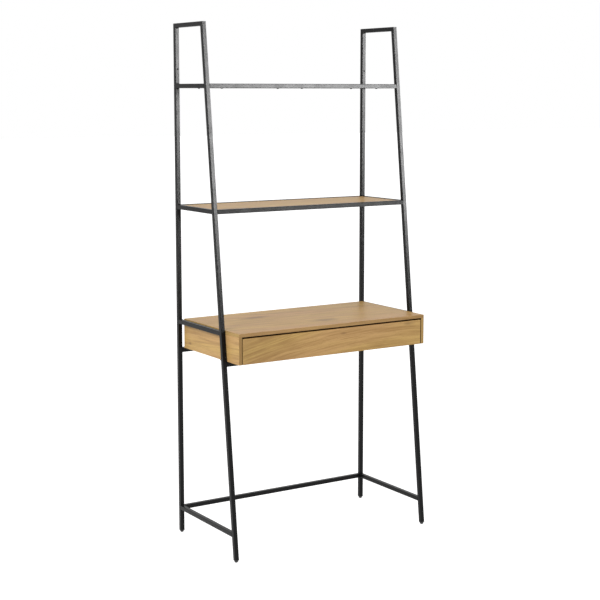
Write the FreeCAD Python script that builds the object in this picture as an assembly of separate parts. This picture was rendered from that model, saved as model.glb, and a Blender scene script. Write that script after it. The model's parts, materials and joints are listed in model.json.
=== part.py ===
"""Ladder desk: two leaning side frames of square tube, two inset shelves and a desk box with a drawer.

X is the width, Y runs from the front (-Y) to the rear (+Y) and Z is up, all in millimetres. The origin is
on the floor, half way across the width and half way from the face of the desk box to the rear of the frame.
"""
import FreeCAD, Part
import math
import os

Vec = FreeCAD.Vector

# ---- the whole desk
WIDTH = 800.0  # over the outer faces of the side frames
DEPTH = 410.0  # from the face of the desk box to the rear faces of the rear uprights
HEIGHT = 1805.0  # floor to the top of the side frames
FOOT_REACH = 400.0  # rear face to the front uprights' centre line, at the floor
TOP_REACH = 199.0  # the same, at the top

# ---- square tube
TUBE = 15.0
TUBE_WALL = 1.2
TUBE_CORNER = 1.5  # outer corner radius
MIN_CORNER = 0.3  # smallest radius inside the tube's corners

# ---- levels, each given to the top faces of its rails
UPPER_SHELF_DROP = 205.0  # below the top of the side frames
MIDDLE_SHELF_DROP = 622.5  # below the top of the side frames
DESK_HEIGHT = 781.0  # working surface
DESK_RAIL_DROP = 3.0  # the side rails at the desk end this far below the working surface
LOWER_RAIL_TOP = 100.0

# ---- wall fixing holes through the rear uprights
WALL_HOLE_LIFT = 50.0  # above the rails round the upper shelf
WALL_HOLE_RADIUS = 3.0

# ---- spigots that carry the cross rails, and the grub screws that lock them
RAIL_END_GAP = 0.2  # between a cross rail's end and the upright
SPIGOT_LENGTH = 30.0
SPIGOT_CLEARANCE = 0.15  # each side, inside the rail
GRUB_RADIUS = 2.5
GRUB_LENGTH = 8.0
GRUB_INSET = 15.0  # from the upright's face to the screw
GRUB_SUNK = 0.3  # the screw's end lies this far inside the rail's lower face
GRUB_CLEARANCE = 0.25  # round the screw, through the rail's wall
THREAD_CLEARANCE = 0.05  # round any screw, in its thread
GRUB_SOCKET = 2.5  # across the flats of the hexagon socket
GRUB_SOCKET_DEPTH = 3.0

# ---- domed plastic glides pushed into the feet
GLIDE_RADIUS = 7.0
GLIDE_FLAT = 0.5  # height cut off the dome, where it stands
GLIDE_NECK = 1.0  # round part between the dome and the flange
GLIDE_FLANGE = 1.5
GLIDE_PLUG = 14.0  # length inside the tube
GLIDE_CLEARANCE = 0.15

# ---- shelves, whose boards lie on tabs that are flush with the rails' lower faces
SHELF_BOARD = 12.0
SHELF_EDGE_GAP = 1.0  # round the board
SHELF_TAB_WIDTH = 24.0
SHELF_TAB_LENGTH = 30.0
SHELF_TAB_THICKNESS = 1.5
SHELF_TAB_HOLE_INSET = 20.0  # from the rail's face to the screw
SHELF_TAB_SPACING = 320.0

# ---- pan head wood screws, for the shelves and under the desk box
PAN_HEAD_RADIUS = 3.6
PAN_HEAD_HEIGHT = 2.0
PAN_HEAD_ROUND = 0.9  # radius round the head's edge
PAN_SHANK_RADIUS = 1.75
PAN_TIP_RADIUS = 0.45
SHELF_SCREW_LENGTH = 10.0
BOX_SCREW_LENGTH = 25.0
SCREW_HOLE_CLEARANCE = 0.35  # round a shank, through metal
SLOT_WIDTH = 1.0  # cross recess in a screw's head
SLOT_LENGTH = 3.6
SLOT_DEPTH = 1.1

# ---- desk box
BOARD_ROUND = 0.8  # radius along the edges of the boards, the shelves' and the drawer front's too
BOX_HEIGHT = 105.0
BOX_BOARD = 12.0
BOX_SIDE_GAP = 2.0  # between the box and the uprights, each side
BOX_REAR_GAP = 9.3  # between the box and the rear uprights
BOX_TAB_THICKNESS = 2.0
BOX_TAB_WIDTH = 20.0
BOX_TAB_REACH = 36.0  # past the bearer, under the box's side
BOX_TAB_SCREW_INSET = 12.0  # from the tab's free end to the screw
BOX_TAB_END_GAP = 1.0  # between a tab and the side frame

# ---- dowels and cam fittings of the desk box and the drawer
DOWEL_RADIUS = 3.0
DOWEL_DEPTH_THIN = 8.0  # depth in the board that a dowel meets face on
DOWEL_DEPTH_EDGE = 18.0  # depth in the board that it meets edge on
DOWEL_CLEARANCE = 0.05
CAM_RADIUS = 6.0
CAM_DEPTH = 9.5
CAM_CLEARANCE = 0.1
CAM_EDGE = 20.0  # from the board's edge to the cam's centre
CAM_SLOT_WIDTH = 1.4
CAM_SLOT_LENGTH = 7.0
CAM_SLOT_DEPTH = 1.5
CAM_BOLT_RADIUS = 2.2
CAM_BOLT_THREAD_RADIUS = 2.5
CAM_BOLT_THREAD = 8.0
CAM_BOLT_STOP = 7.0  # the bolt ends this far before the cam's centre
CAM_BOLT_CLEARANCE = 0.3
BOX_DOWEL_INSETS = (35.0, 300.0)  # from the box's face
BOX_CAM_INSETS = (75.0, 260.0)  # from the box's face
BACK_DOWEL_HEIGHTS = (25.0, 70.0)  # above the box's lower edge

# ---- drawer
DRAWER_TOP_GAP = 6.0  # between the drawer front and the desk's board
DRAWER_SIDE_GAP = 3.0
DRAWER_BOARD = 12.0
DRAWER_LIFT = 8.0  # drawer sides above the front's lower edge
DRAWER_SIDE_HEIGHT = 68.0
DRAWER_REAR_GAP = 11.7  # between the drawer's sides and the desk box's back
DRAWER_BOTTOM = 3.0
DRAWER_GROOVE_LIFT = 8.0  # bottom panel above the sides' lower edges
DRAWER_GROOVE_DEPTH = 6.0
GROOVE_CLEARANCE = 0.15
DRAWER_DOWEL_LIFT = 57.0  # above the sides' lower edges
DRAWER_CAM_LIFT = 34.0
DRAWER_SCREW_LIFTS = (22.0, 56.0)
CSK_RADIUS = 3.6
CSK_SHANK_RADIUS = 1.75
CSK_LENGTH = 38.0

# ---- ball bearing runners, each a cabinet, a middle and a drawer member with two ball cages
RUNNER_HEIGHT = 35.0
RUNNER_THICKNESS = 12.7
RUNNER_SHEET = 1.2
RUNNER_LIFT = 34.0  # runner's centre above the drawer sides' lower edges
OUTER_FLANGE = 10.2  # width of the cabinet member's flanges
OUTER_LIP = 2.9  # their turned ends
MIDDLE_SHEET = 1.0
MIDDLE_FLANGE = 5.6  # width of the middle member's flanges
MEMBER_GAP = 0.6  # sideways, between a cage's web and the member beside it
OUTER_BALL_RADIUS = 1.5
INNER_BALL_WEB_GAP = 0.45  # between the inner balls and their cage's web
BALL_CLEARANCE = 0.1
CAGE_SHEET = 0.4
CAGE_EDGE = 0.2  # cage beyond its balls
CAGE_HEAD_GAP = 0.25  # between the outer cage's web and the cabinet member's screw heads
CAGE_LIP_GAP = 0.3  # between the outer cage and the turned ends
CAGE_FACE_GAP = 1.0  # between the inner cage and the drawer member's web
CAGE_POCKET_CLEARANCE = 0.15
CAGE_LENGTH = 150.0
CAGE_START = 90.0  # behind the runners' front ends
BALLS_IN_A_ROW = 8
BALL_END_MARGIN = 8.0
RUNNER_SCREW_HEAD = 1.5
RUNNER_SCREW_HEAD_RADIUS = 3.2
RUNNER_SCREW_SHANK = 1.6
RUNNER_SCREW_LENGTH = 9.0
RUNNER_SCREW_FRONT = 37.0  # from the runner's front end to its first screw
RUNNER_SCREW_REAR = 25.0  # from its rear end to its last screw

# ---- places that follow from these sizes
REAR = DEPTH / 2
FRONT = -DEPTH / 2
HALF_TUBE = TUBE / 2
INNER_X = WIDTH / 2 - TUBE  # inner faces of the side frames
FRAME_X = WIDTH / 2 - HALF_TUBE  # centre lines of the side frames
LEAN = math.atan2(FOOT_REACH - TOP_REACH, HEIGHT)
LEANING_HALF = HALF_TUBE / math.cos(LEAN)  # half a front upright, measured level
REAR_UPRIGHT_Y = REAR - HALF_TUBE
GLIDE_CENTRE = GLIDE_RADIUS - GLIDE_FLAT
BEYOND = 2 * HEIGHT  # longer than anything that is trimmed

UPPER_SHELF_TOP = HEIGHT - UPPER_SHELF_DROP
MIDDLE_SHELF_TOP = HEIGHT - MIDDLE_SHELF_DROP
SHELF_RECESS = TUBE - SHELF_BOARD - SHELF_TAB_THICKNESS  # board's top below the rails' tops
WALL_HOLE_HEIGHT = UPPER_SHELF_TOP + WALL_HOLE_LIFT

DESK_RAIL_TOP = DESK_HEIGHT - DESK_RAIL_DROP
BOX_X = INNER_X - BOX_SIDE_GAP
BOX_INNER_X = BOX_X - BOX_BOARD
BOX_BOTTOM = DESK_HEIGHT - BOX_HEIGHT
BOX_UNDER_TOP = DESK_HEIGHT - BOX_BOARD
BOX_REAR = REAR - TUBE - BOX_REAR_GAP
BEARER_TOP = BOX_BOTTOM - BOX_TAB_THICKNESS

DRAWER_X = BOX_INNER_X - RUNNER_THICKNESS
DRAWER_INNER_X = DRAWER_X - DRAWER_BOARD
DRAWER_FRONT_X = BOX_INNER_X - DRAWER_SIDE_GAP
DRAWER_Y = FRONT + DRAWER_BOARD  # back of the drawer front
DRAWER_REAR = BOX_REAR - BOX_BOARD - DRAWER_REAR_GAP
DRAWER_Z = BOX_BOTTOM + DRAWER_LIFT

RUNNER_Z = DRAWER_Z + RUNNER_LIFT
RUNNER_LENGTH = DRAWER_REAR - DRAWER_Y  # as long as the drawer's sides
RUNNER_LAST_SCREW = RUNNER_LENGTH - RUNNER_SCREW_REAR
RUNNER_SCREW_INSETS = (RUNNER_SCREW_FRONT, (RUNNER_SCREW_FRONT + RUNNER_LAST_SCREW) / 2, RUNNER_LAST_SCREW)

# ---- places across a runner, from the face of the desk box's side
OUTER_CAGE_WEB = RUNNER_SHEET + RUNNER_SCREW_HEAD + CAGE_HEAD_GAP
OUTER_CAGE_END = OUTER_FLANGE - RUNNER_SHEET - CAGE_LIP_GAP
OUTER_BALL_PLACE = OUTER_CAGE_END - CAGE_EDGE - OUTER_BALL_RADIUS
MIDDLE_WEB = OUTER_CAGE_WEB + CAGE_SHEET + MEMBER_GAP
INNER_CAGE_WEB = MIDDLE_WEB + MIDDLE_SHEET + MEMBER_GAP
INNER_CAGE_END = RUNNER_THICKNESS - RUNNER_SHEET - RUNNER_SCREW_HEAD - CAGE_FACE_GAP
INNER_BALL_ROOM = INNER_CAGE_END - CAGE_EDGE - INNER_CAGE_WEB - CAGE_SHEET
INNER_BALL_RADIUS = (INNER_BALL_ROOM - INNER_BALL_WEB_GAP) / 2
INNER_BALL_PLACE = INNER_CAGE_END - CAGE_EDGE - INNER_BALL_RADIUS
INNER_FLANGE_TIP = INNER_CAGE_WEB + CAGE_SHEET + MEMBER_GAP


def front_upright_y(z):
    """Centre line of the front uprights at height z."""
    return REAR - FOOT_REACH + (FOOT_REACH - TOP_REACH) * z / HEIGHT


def box(x0, x1, y0, y1, z0, z1):
    """Block between two corners."""
    return Part.makeBox(x1 - x0, y1 - y0, z1 - z0, Vec(x0, y0, z0))


def board(x0, x1, y0, y1, z0, z1):
    """Board between two corners, with its edges eased."""
    plain = box(x0, x1, y0, y1, z0, z1)
    return plain.makeFillet(BOARD_ROUND, plain.Edges)


def mirrored(shape):
    """The same piece on the other side of the desk."""
    return shape.mirror(Vec(0, 0, 0), Vec(1, 0, 0))


def on_side(shape, side):
    """A piece built on the right (+X), or its mirror image for the left."""
    return shape if side > 0 else mirrored(shape)


def cylinder(radius, length, start, direction):
    """Round bar from a point along a direction."""
    return Part.makeCylinder(radius, length, start, direction)


def hexagon(across_flats, length, start):
    """Hexagonal bar from a point upwards."""
    radius = across_flats / math.sqrt(3)
    corners = [Vec(radius * math.cos(math.radians(60 * k)), radius * math.sin(math.radians(60 * k)), 0)
               for k in range(7)]
    bar = Part.Face(Part.makePolygon(corners)).extrude(Vec(0, 0, length))
    bar.translate(start)
    return bar


def rounded_bar(side, radius, length):
    """Square bar along Z from the origin, with rounded corners."""
    half = side / 2
    flat = half - radius
    middle = flat + radius * math.cos(math.radians(45))
    edges = []
    for quarter in range(4):
        turn = FreeCAD.Rotation(Vec(0, 0, 1), 90 * quarter)
        start = turn.multVec(Vec(half, -flat, 0))
        corner = turn.multVec(Vec(half, flat, 0))
        along = turn.multVec(Vec(middle, middle, 0))
        end = turn.multVec(Vec(flat, half, 0))
        edges.append(Part.LineSegment(start, corner).toShape())
        edges.append(Part.Arc(corner, along, end).toShape())
    return Part.Face(Part.Wire(edges)).extrude(Vec(0, 0, length))


def tube(length):
    """Square tube along Z from the origin."""
    outer = rounded_bar(TUBE, TUBE_CORNER, length)
    inner_corner = max(TUBE_CORNER - TUBE_WALL, MIN_CORNER)
    return outer.cut(rounded_bar(TUBE - 2 * TUBE_WALL, inner_corner, length))


def placed(shape, start, direction):
    """Turns a piece built along Z to a direction in the YZ plane or along X, and moves it to its start."""
    shape.Placement = FreeCAD.Placement(start, FreeCAD.Rotation(Vec(0, 0, 1), direction))
    return shape


def trimmed(shape, point, outward):
    """Cuts off what lies beyond the plane through a point, on the side that outward points to."""
    cutter = Part.makeBox(BEYOND, BEYOND, BEYOND, Vec(-BEYOND / 2, -BEYOND / 2, 0))
    return shape.cut(placed(cutter, point, outward))


def pan_screw(tip, length):
    """Pan head wood screw, pointing up, with the underside of its head at tip minus its length."""
    seat = tip - Vec(0, 0, length)
    low = seat.z - PAN_HEAD_HEIGHT
    head = cylinder(PAN_HEAD_RADIUS, PAN_HEAD_HEIGHT, seat - Vec(0, 0, PAN_HEAD_HEIGHT), Vec(0, 0, 1))
    lower_edges = [edge for edge in head.Edges if edge.BoundBox.ZMax < low + PAN_HEAD_ROUND]
    head = head.makeFillet(PAN_HEAD_ROUND, lower_edges)
    point = 2 * PAN_SHANK_RADIUS
    shank = cylinder(PAN_SHANK_RADIUS, length - point, seat, Vec(0, 0, 1))
    cone = Part.makeCone(PAN_SHANK_RADIUS, PAN_TIP_RADIUS, point, tip - Vec(0, 0, point), Vec(0, 0, 1))
    screw = head.fuse(shank).fuse(cone)
    for long, wide in ((SLOT_LENGTH, SLOT_WIDTH), (SLOT_WIDTH, SLOT_LENGTH)):
        screw = screw.cut(box(tip.x - long / 2, tip.x + long / 2, tip.y - wide / 2, tip.y + wide / 2,
                              low, low + SLOT_DEPTH))
    return screw


def export(name, *solids):
    """Writes one node, made of one solid or of several separate ones."""
    shape = solids[0] if len(solids) == 1 else Part.makeCompound(list(solids))
    shape.exportStep(f"parts/{name}.step")


# ---------------------------------------------------------------- side frames
def upright_axis(lean):
    """Direction of an upright that leans to the rear."""
    return Vec(0, math.sin(lean), math.cos(lean))


def glide_centre(side, y_at):
    """Centre of the glide's dome, on the upright's centre line."""
    return Vec(side * FRAME_X, y_at(GLIDE_CENTRE), GLIDE_CENTRE)


def upright(side, y_at, lean):
    """Upright tube from its glide to past the top, not yet mitred."""
    axis = upright_axis(lean)
    start = glide_centre(side, y_at) + axis * (GLIDE_NECK + GLIDE_FLANGE)
    return placed(tube(BEYOND), start, axis)


def glide(side, y_at, lean):
    """Domed glide with its flange and the plug inside the tube."""
    dome = Part.makeSphere(GLIDE_RADIUS)
    dome = trimmed(dome, Vec(0, 0, 0), Vec(0, 0, 1))
    neck = cylinder(GLIDE_RADIUS, GLIDE_NECK, Vec(0, 0, 0), Vec(0, 0, 1))
    flange = rounded_bar(TUBE, TUBE_CORNER, GLIDE_FLANGE)
    flange.translate(Vec(0, 0, GLIDE_NECK))
    plug_side = TUBE - 2 * TUBE_WALL - 2 * GLIDE_CLEARANCE
    plug = rounded_bar(plug_side, MIN_CORNER + GLIDE_CLEARANCE, GLIDE_PLUG)
    plug.translate(Vec(0, 0, GLIDE_NECK + GLIDE_FLANGE))
    piece = dome.fuse(neck).fuse(flange).fuse(plug).removeSplitter()
    piece = placed(piece, glide_centre(side, y_at), upright_axis(lean))
    return trimmed(piece, Vec(side * FRAME_X, 0, 0), Vec(0, 0, -1))


def rear_upright_y(z):
    """Centre line of the rear uprights, which are vertical."""
    return REAR_UPRIGHT_Y


def wall_hole(side):
    """Hole for a wall screw, right through a rear upright."""
    start = Vec(side * FRAME_X, REAR - 2 * TUBE, WALL_HOLE_HEIGHT)
    return cylinder(WALL_HOLE_RADIUS, 3 * TUBE, start, Vec(0, 1, 0))


def side_rail(side, top):
    """Rail from the rear upright to the leaning front one, cut to its slope."""
    z = top - HALF_TUBE
    rail = placed(tube(DEPTH), Vec(side * FRAME_X, REAR - TUBE, z), Vec(0, -1, 0))
    face = Vec(side * FRAME_X, front_upright_y(z) + LEANING_HALF, z)
    return trimmed(rail, face, Vec(0, -math.cos(LEAN), math.sin(LEAN)))


def side_frame(side, word):
    """The seven tubes of one side frame, mitred at the top and butted elsewhere."""
    x = side * FRAME_X
    low = HEIGHT - TUBE
    rear_outer = Vec(x, REAR, HEIGHT)
    front_outer = Vec(x, front_upright_y(HEIGHT) - LEANING_HALF, HEIGHT)
    front_inner = Vec(x, front_upright_y(low) + LEANING_HALF, low)
    fall = front_inner - front_outer
    up_and_back = Vec(0, -fall.z, fall.y)
    rear = upright(side, rear_upright_y, 0)
    rear = trimmed(rear, rear_outer, Vec(0, -1, 1)).cut(wall_hole(side))
    front = trimmed(upright(side, front_upright_y, LEAN), front_outer, up_and_back)
    top = placed(tube(DEPTH + TUBE), Vec(x, REAR + HALF_TUBE, HEIGHT - HALF_TUBE), Vec(0, -1, 0))
    top = trimmed(top, rear_outer, Vec(0, 1, -1))
    top = trimmed(top, front_outer, -up_and_back)
    export(f"{word}_rear_upright", rear)
    export(f"{word}_front_upright", front)
    export(f"{word}_top_rail", top)
    levels = {"upper": UPPER_SHELF_TOP, "middle": MIDDLE_SHELF_TOP, "desk": DESK_RAIL_TOP,
              "lower": LOWER_RAIL_TOP}
    for level, height in levels.items():
        export(f"{word}_{level}_side_rail", side_rail(side, height))


# ---------------------------------------------------------------- cross rails
def cross_rail_places():
    """Name, centre line Y and top height of each rail between the side frames."""
    places = [("rear_stretcher", REAR_UPRIGHT_Y, LOWER_RAIL_TOP)]
    levels = {"desk": BEARER_TOP, "upper_shelf": UPPER_SHELF_TOP, "middle_shelf": MIDDLE_SHELF_TOP}
    for name, top in levels.items():
        piece = "bearer" if name == "desk" else "rail"
        places.append((f"{name}_rear_{piece}", REAR_UPRIGHT_Y, top))
        places.append((f"{name}_front_{piece}", front_upright_y(top - HALF_TUBE), top))
    return places


def grub_start(side, y, top):
    """Lower end of a grub screw, just inside the rail's lower face."""
    return Vec(side * (INNER_X - GRUB_INSET), y, top - TUBE + GRUB_SUNK)


def cross_rail(y, top):
    """Tube between the side frames, with a hole under each end for its grub screw."""
    reach = INNER_X - RAIL_END_GAP
    rail = placed(tube(2 * reach), Vec(-reach, y, top - HALF_TUBE), Vec(1, 0, 0))
    depth = 2 * TUBE_WALL + GRUB_SUNK
    for side in (-1, 1):
        start = grub_start(side, y, top) - Vec(0, 0, TUBE_WALL)
        rail = rail.cut(cylinder(GRUB_RADIUS + GRUB_CLEARANCE, depth, start, Vec(0, 0, 1)))
    return rail


def spigot(side, y, top):
    """Square stub on an upright's inner face that fills the cross rail's end."""
    half = HALF_TUBE - TUBE_WALL - SPIGOT_CLEARANCE
    z = top - HALF_TUBE
    stub = box(INNER_X - SPIGOT_LENGTH, INNER_X, y - half, y + half, z - half, z + half)
    start = grub_start(1, y, top)
    hole = cylinder(GRUB_RADIUS + THREAD_CLEARANCE, GRUB_LENGTH + THREAD_CLEARANCE, start, Vec(0, 0, 1))
    return on_side(stub.cut(hole), side)


def grub_screw(side, y, top):
    """Headless screw with a hexagon socket in its lower end."""
    start = grub_start(side, y, top)
    screw = cylinder(GRUB_RADIUS, GRUB_LENGTH, start, Vec(0, 0, 1))
    return screw.cut(hexagon(GRUB_SOCKET, GRUB_SOCKET_DEPTH, start))


def cross_rails():
    """All the rails between the side frames, with their spigots and grub screws."""
    spigots = []
    grubs = []
    for name, y, top in cross_rail_places():
        export(name, cross_rail(y, top))
        for side in (-1, 1):
            spigots.append(spigot(side, y, top))
            grubs.append(grub_screw(side, y, top))
    export("rail_spigots", *spigots)
    export("spigot_grub_screws", *grubs)


# ---------------------------------------------------------------- shelves
def shelf_screw_places(top):
    """Where the screws of one shelf enter its board from below, and which way its tab points."""
    rear_face = REAR - TUBE
    front_face = front_upright_y(top - HALF_TUBE) + HALF_TUBE
    columns = (-SHELF_TAB_SPACING, 0.0, SHELF_TAB_SPACING)
    return [(x, face, way) for face, way in ((rear_face, -1), (front_face, 1)) for x in columns]


def shelf(name, top):
    """Board of one shelf, and the tabs and screws that hold it in its rails."""
    board_top = top - SHELF_RECESS
    board_low = board_top - SHELF_BOARD
    front_face = front_upright_y(top - HALF_TUBE) + HALF_TUBE
    reach = INNER_X - SHELF_EDGE_GAP
    panel = board(-reach, reach, front_face + SHELF_EDGE_GAP, REAR - TUBE - SHELF_EDGE_GAP, board_low,
                  board_top)
    pilot_depth = SHELF_SCREW_LENGTH + THREAD_CLEARANCE
    tabs = []
    screws = []
    for x, face, way in shelf_screw_places(top):
        ends = sorted((face, face + way * SHELF_TAB_LENGTH))
        tab = box(x - SHELF_TAB_WIDTH / 2, x + SHELF_TAB_WIDTH / 2, ends[0], ends[1],
                  board_low - SHELF_TAB_THICKNESS, board_low)
        seat = Vec(x, face + way * SHELF_TAB_HOLE_INSET, board_low - SHELF_TAB_THICKNESS)
        hole = cylinder(PAN_SHANK_RADIUS + SCREW_HOLE_CLEARANCE, SHELF_TAB_THICKNESS, seat, Vec(0, 0, 1))
        tabs.append(tab.cut(hole))
        tip = seat + Vec(0, 0, SHELF_SCREW_LENGTH)
        screws.append(pan_screw(tip, SHELF_SCREW_LENGTH))
        panel = panel.cut(cylinder(PAN_SHANK_RADIUS + THREAD_CLEARANCE, pilot_depth, seat, Vec(0, 0, 1)))
    export(f"{name}_panel", panel)
    return tabs, screws


def shelves():
    """Both shelves. Their tabs and screws are alike."""
    tabs = []
    screws = []
    for name, top in (("upper_shelf", UPPER_SHELF_TOP), ("middle_shelf", MIDDLE_SHELF_TOP)):
        more_tabs, more_screws = shelf(name, top)
        tabs += more_tabs
        screws += more_screws
    export("shelf_tabs", *tabs)
    export("shelf_screws", *screws)


# ---------------------------------------------------------------- dowels and cams
def dowel_hole(dowel_start, direction, length):
    """Hole for a dowel, longer and wider than it by its clearance."""
    start = dowel_start - direction * DOWEL_CLEARANCE
    return cylinder(DOWEL_RADIUS + DOWEL_CLEARANCE, length + 2 * DOWEL_CLEARANCE, start, direction)


def cam_set(centre, into_board, thickness, to_bolt):
    """Cam nut, cam bolt and the holes for both.

    centre lies on the face that the cam is sunk in, into_board points into that board, thickness is the
    board's and to_bolt points from the cam to the other board.
    """
    nut = cylinder(CAM_RADIUS, CAM_DEPTH, centre, into_board)
    nut_hole = cylinder(CAM_RADIUS + CAM_CLEARANCE, CAM_DEPTH + CAM_CLEARANCE, centre, into_board)
    across = to_bolt.cross(into_board)
    slot_parts = ((to_bolt, across), (across, to_bolt))
    for long, wide in slot_parts:
        slot = Part.makeBox(CAM_SLOT_LENGTH, CAM_SLOT_WIDTH, CAM_SLOT_DEPTH,
                            Vec(-CAM_SLOT_LENGTH / 2, -CAM_SLOT_WIDTH / 2, 0))
        slot.Placement = FreeCAD.Placement(centre, FreeCAD.Rotation(long, wide, into_board, "ZXY"))
        nut = nut.cut(slot)
    middle = centre + into_board * (thickness / 2)
    joint = middle + to_bolt * CAM_EDGE
    bolt = cylinder(CAM_BOLT_RADIUS, CAM_EDGE - CAM_BOLT_STOP, middle + to_bolt * CAM_BOLT_STOP, to_bolt)
    thread = cylinder(CAM_BOLT_THREAD_RADIUS, CAM_BOLT_THREAD, joint, to_bolt)
    bolt_hole = cylinder(CAM_BOLT_RADIUS + CAM_BOLT_CLEARANCE, CAM_EDGE, middle, to_bolt)
    thread_hole = cylinder(CAM_BOLT_THREAD_RADIUS + THREAD_CLEARANCE, CAM_BOLT_THREAD + THREAD_CLEARANCE,
                           joint, to_bolt)
    return nut, bolt.fuse(thread), nut_hole, bolt_hole, thread_hole


# ---------------------------------------------------------------- desk box
def box_tab(y, way):
    """Plate on the right end of a bearer, under the box's side, with its screw and both holes."""
    outer = INNER_X - BOX_TAB_END_GAP
    near = y - way * HALF_TUBE
    far = y + way * (HALF_TUBE + BOX_TAB_REACH)
    plate = box(outer - BOX_TAB_WIDTH, outer, min(near, far), max(near, far), BEARER_TOP, BOX_BOTTOM)
    seat = Vec(BOX_X - BOX_BOARD / 2, far - way * BOX_TAB_SCREW_INSET, BEARER_TOP)
    hole = cylinder(PAN_SHANK_RADIUS + SCREW_HOLE_CLEARANCE, BOX_TAB_THICKNESS, seat, Vec(0, 0, 1))
    screw = pan_screw(seat + Vec(0, 0, BOX_SCREW_LENGTH), BOX_SCREW_LENGTH)
    pilot_depth = BOX_SCREW_LENGTH + THREAD_CLEARANCE
    pilot = cylinder(PAN_SHANK_RADIUS + THREAD_CLEARANCE, pilot_depth, seat, Vec(0, 0, 1))
    return plate.cut(hole), screw, pilot


def runner_screws(inward_face, way):
    """Screws of the right runner into a board whose face is at inward_face, driven along way (+1 is +X)."""
    screws = []
    pilots = []
    for inset in RUNNER_SCREW_INSETS:
        seat = Vec(inward_face - way * RUNNER_SHEET, DRAWER_Y + inset, RUNNER_Z)
        out = Vec(-way, 0, 0)
        head = cylinder(RUNNER_SCREW_HEAD_RADIUS, RUNNER_SCREW_HEAD, seat, out)
        shank = cylinder(RUNNER_SCREW_SHANK, RUNNER_SCREW_LENGTH, seat, -out)
        screws.append(head.fuse(shank))
        pilots.append(cylinder(RUNNER_SCREW_SHANK + THREAD_CLEARANCE, RUNNER_SCREW_LENGTH + THREAD_CLEARANCE,
                               seat, -out))
    return screws, pilots


def desk_box():
    """Top, sides and back of the desk box, its fittings, and the tabs and screws that hold it."""
    top = board(-BOX_X, BOX_X, FRONT, BOX_REAR, BOX_UNDER_TOP, DESK_HEIGHT)
    side_board = board(BOX_INNER_X, BOX_X, FRONT, BOX_REAR, BOX_BOTTOM, BOX_UNDER_TOP)
    back_y = BOX_REAR - BOX_BOARD
    back = board(-BOX_INNER_X, BOX_INNER_X, back_y, BOX_REAR, BOX_BOTTOM, BOX_UNDER_TOP)
    middle_x = BOX_X - BOX_BOARD / 2
    nuts = []
    bolts = []
    dowels = []
    for inset in BOX_DOWEL_INSETS:
        start = Vec(middle_x, FRONT + inset, BOX_UNDER_TOP - DOWEL_DEPTH_EDGE)
        length = DOWEL_DEPTH_EDGE + DOWEL_DEPTH_THIN
        dowels.append(cylinder(DOWEL_RADIUS, length, start, Vec(0, 0, 1)))
        hole = dowel_hole(start, Vec(0, 0, 1), length)
        side_board = side_board.cut(hole)
        top = top.cut(hole).cut(mirrored(hole))
    for inset in BOX_CAM_INSETS:
        centre = Vec(BOX_INNER_X, FRONT + inset, BOX_UNDER_TOP - CAM_EDGE)
        nut, bolt, nut_hole, bolt_hole, thread_hole = cam_set(centre, Vec(1, 0, 0), BOX_BOARD, Vec(0, 0, 1))
        nuts.append(nut)
        bolts.append(bolt)
        side_board = side_board.cut(nut_hole).cut(bolt_hole)
        top = top.cut(thread_hole).cut(mirrored(thread_hole))
    for height in BACK_DOWEL_HEIGHTS:
        start = Vec(BOX_INNER_X - DOWEL_DEPTH_EDGE, BOX_REAR - BOX_BOARD / 2, BOX_BOTTOM + height)
        length = DOWEL_DEPTH_EDGE + DOWEL_DEPTH_THIN
        dowels.append(cylinder(DOWEL_RADIUS, length, start, Vec(1, 0, 0)))
        hole = dowel_hole(start, Vec(1, 0, 0), length)
        side_board = side_board.cut(hole)
        back = back.cut(hole).cut(mirrored(hole))
    tabs = []
    screws = []
    for y, way in ((REAR_UPRIGHT_Y, -1), (front_upright_y(BEARER_TOP - HALF_TUBE), 1)):
        tab, screw, pilot = box_tab(y, way)
        tabs.append(tab)
        screws.append(screw)
        side_board = side_board.cut(pilot)
    member_screws, pilots = runner_screws(BOX_INNER_X, 1)
    for pilot in pilots:
        side_board = side_board.cut(pilot)
    export("desk_top", top)
    export("desk_right_side", side_board)
    export("desk_left_side", mirrored(side_board))
    export("desk_back_panel", back)
    for name, group in (("desk_dowels", dowels), ("desk_cam_nuts", nuts), ("desk_cam_bolts", bolts),
                        ("desk_box_tabs", tabs), ("desk_box_screws", screws),
                        ("runner_cabinet_screws", member_screws)):
        export(name, *group, *[mirrored(piece) for piece in group])


# ---------------------------------------------------------------- drawer
def back_screws():
    """Countersunk screws through the right drawer side into the drawer's back, and their holes."""
    screws = []
    holes = []
    y = DRAWER_REAR - DRAWER_BOARD / 2
    inward = Vec(-1, 0, 0)
    head_height = CSK_RADIUS - CSK_SHANK_RADIUS
    for lift in DRAWER_SCREW_LIFTS:
        start = Vec(DRAWER_X, y, DRAWER_Z + lift)
        head = Part.makeCone(CSK_RADIUS, CSK_SHANK_RADIUS, head_height, start, inward)
        shank = cylinder(CSK_SHANK_RADIUS, CSK_LENGTH - head_height, start + inward * head_height, inward)
        screw = head.fuse(shank)
        for long, wide in ((SLOT_LENGTH, SLOT_WIDTH), (SLOT_WIDTH, SLOT_LENGTH)):
            screw = screw.cut(box(DRAWER_X - SLOT_DEPTH, DRAWER_X, y - long / 2, y + long / 2,
                                  start.z - wide / 2, start.z + wide / 2))
        screws.append(screw)
        sink = Part.makeCone(CSK_RADIUS + THREAD_CLEARANCE, CSK_SHANK_RADIUS + THREAD_CLEARANCE, head_height,
                             start, inward)
        holes.append(sink.fuse(cylinder(CSK_SHANK_RADIUS + THREAD_CLEARANCE, CSK_LENGTH + THREAD_CLEARANCE,
                                        start, inward)))
    return screws, holes


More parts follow.
